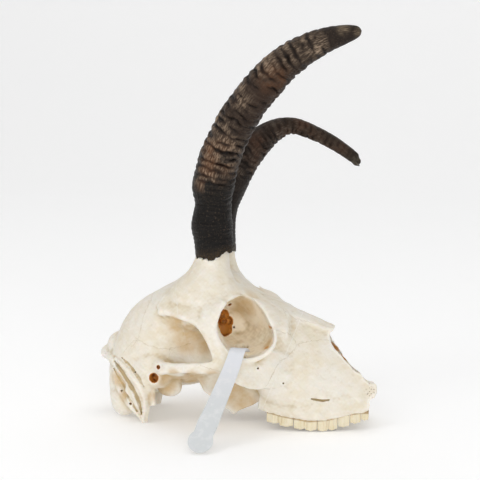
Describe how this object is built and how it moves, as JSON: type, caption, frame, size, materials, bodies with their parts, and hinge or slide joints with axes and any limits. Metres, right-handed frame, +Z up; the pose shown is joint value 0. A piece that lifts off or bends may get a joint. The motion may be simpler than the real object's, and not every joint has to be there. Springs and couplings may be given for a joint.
{
  "type": "two-horned sheep skull",
  "caption": "Ram's skull without its lower jaw, with a large ribbed horn, a thinner curling one and a blank tag hung in an eye socket; it rests on its cheek teeth.",
  "frame": {"origin": "middle of the whole object's box, on the surface it rests on", "axes": "+X towards the nose, +Y to the animal's left, +Z up"},
  "size_m": [0.1976, 0.1554, 0.2746],
  "materials": {
    "bone": "dry cleaned bone, matt to satin",
    "enamel": "worn tooth enamel, semi-gloss",
    "horn_dark": "black-brown ribbed horn, dry and fibrous",
    "horn_brown": "rusty brown ribbed horn with grey crests",
    "tag": "thin milky plastic strip, blank"
  },
  "bodies": {
    "root": {"braincase": "bone", "forehead_right": "bone", "forehead_left": "bone", "muzzle": "bone", "horn_right": "horn_dark", "horn_left": "horn_brown", "specimen_tag": "tag"}
  },
  "joints": []
}
